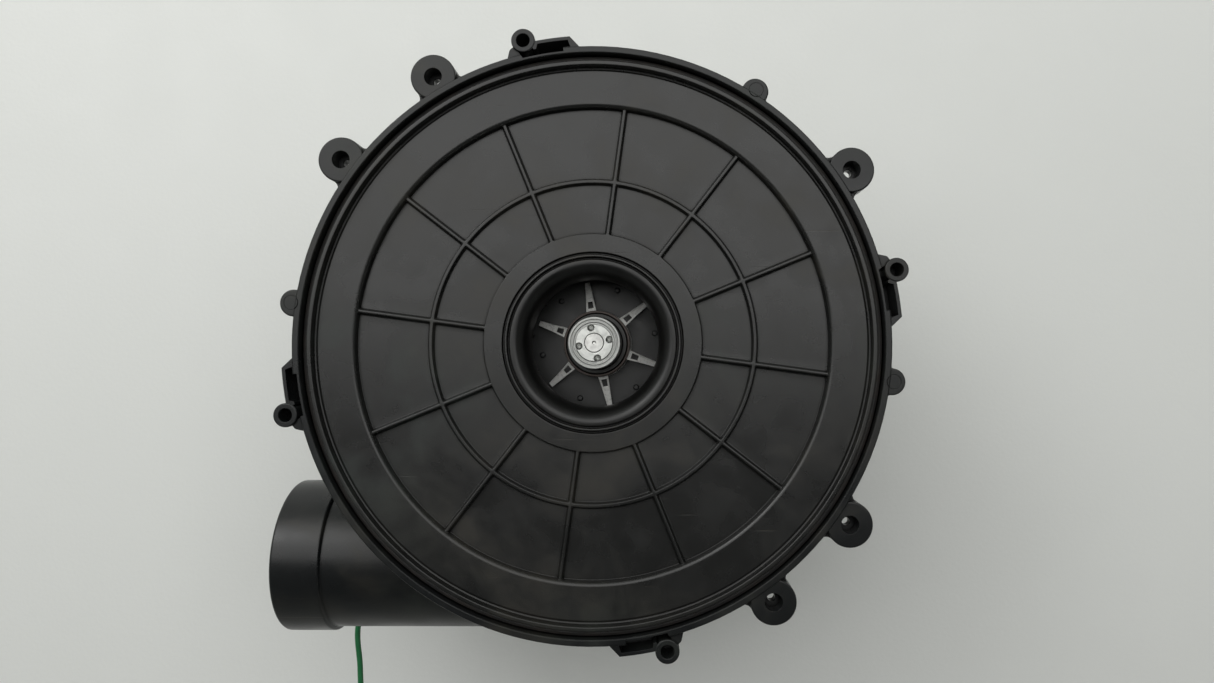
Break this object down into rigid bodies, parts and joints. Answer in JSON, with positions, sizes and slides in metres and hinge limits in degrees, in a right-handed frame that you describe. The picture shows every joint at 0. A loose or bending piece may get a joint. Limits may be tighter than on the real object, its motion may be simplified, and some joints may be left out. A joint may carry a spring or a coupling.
{
  "type": "combustion fan",
  "caption": "Round moulded furnace draft inducer: ribbed inlet cover with bell mouth, backward-curved wheel, scroll with side outlet pipe and rear motor.",
  "frame": {"origin": "on the shaft axis, at the rear face of the motor's dust cap", "axes": "+Z along the shaft towards the inlet cover, -X out of the outlet pipe, so +Y points away from the pipe's side of the scroll"},
  "size_m": [0.2628, 0.3193, 0.16],
  "materials": {
    "housing_plastic": "moulded black, slightly glossy skin",
    "cover_plastic": "moulded black, fine satin skin with handling marks",
    "wheel_plastic": "moulded black, satin",
    "seal_rubber": "dull black",
    "silicone": "dull red",
    "plate_steel": "galvanised",
    "bell_metal": "zinc plated",
    "lamination_steel": "stacked laminations",
    "copper": "enamelled copper wire",
    "bronze": "sintered, oiled",
    "cap_plastic": "moulded black",
    "zinc_steel": "zinc plated",
    "isolator_rubber": "dull dark grey",
    "ground_green": "dark green jacket",
    "terminal_tin": "tinned",
    "lead_black": "black jacket",
    "lead_white": "white jacket",
    "plug_nylon": "natural nylon",
    "shaft_steel": "ground",
    "cage_aluminium": "as cast",
    "hub_aluminium": "turned, fine rings",
    "slinger_aluminium": "stamped",
    "spider_steel": "bright, stamped",
    "nylon": "natural",
    "fan_plastic": "off-white, moulded"
  },
  "bodies": {
    "frame": {"volute_housing": "housing_plastic", "inlet_cover": "cover_plastic", "cover_seal": "seal_rubber", "shaft_seal": "silicone", "motor_plate": "plate_steel", "front_end_bell": "bell_metal", "rear_end_bell": "bell_metal", "stator_core": "lamination_steel", "stator_winding": "copper", "bearing_front": "bronze", "bearing_rear": "bronze", "rear_dust_cap": "cap_plastic", "ground_screw": "ground_green", "ground_terminal": "terminal_tin", "ground_wire": "ground_green", "lead_bushing": "cap_plastic", "lead_plug": "plug_nylon", "lead_wire_black": "lead_black", "lead_wire_white": "lead_white", "plate_isolator_1": "isolator_rubber", "plate_screw_1": "zinc_steel", "through_bolt_1": "zinc_steel", "bolt_nut_1": "zinc_steel", "plate_isolator_2": "isolator_rubber", "plate_screw_2": "zinc_steel", "through_bolt_2": "zinc_steel", "bolt_nut_2": "zinc_steel", "plate_isolator_3": "isolator_rubber", "plate_screw_3": "zinc_steel", "through_bolt_3": "zinc_steel", "bolt_nut_3": "zinc_steel", "plate_isolator_4": "isolator_rubber", "plate_screw_4": "zinc_steel", "through_bolt_4": "zinc_steel", "bolt_nut_4": "zinc_steel"},
    "rotor": {"shaft": "shaft_steel", "rotor_core": "lamination_steel", "rotor_cage": "cage_aluminium", "thrust_washer_front": "nylon", "thrust_washer_rear": "nylon", "cooling_fan": "fan_plastic", "heat_slinger": "slinger_aluminium", "impeller": "wheel_plastic", "hub_insert": "hub_aluminium", "hub_spider": "spider_steel"}
  },
  "joints": [
    {"name": "rotor_spin", "type": "hinge", "parent": "frame", "child": "rotor", "pos_m": [0, 0, 0.08], "axis": [0, 0, 1], "continuous": true}
  ]
}
